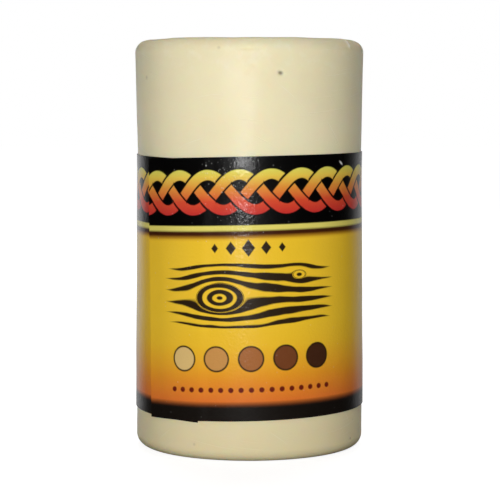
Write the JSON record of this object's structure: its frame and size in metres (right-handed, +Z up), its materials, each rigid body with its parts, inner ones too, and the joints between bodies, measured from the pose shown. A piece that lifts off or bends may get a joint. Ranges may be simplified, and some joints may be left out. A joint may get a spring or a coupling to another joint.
{
  "type": "furniture repair wax stick",
  "caption": "Short round stick of pale filler wax standing on end, with a printed wrap-around label lapped over its own start.",
  "frame": {"origin": "centre of the flat base, on the stick's axis", "axes": "+Z up the stick's axis to the poured end, the front of the label towards -Y"},
  "size_m": [0.0192, 0.0192, 0.034],
  "materials": {
    "wax": "soft pale cream wax, satin",
    "adhesive": "clear tacky layer",
    "label_print": "golden yellow print with black bands",
    "clear_film": "clear gloss film"
  },
  "bodies": {
    "root": {"wax_stick": "wax", "label_adhesive": "adhesive", "label_paper": "label_print", "label_film": "clear_film"}
  },
  "joints": []
}
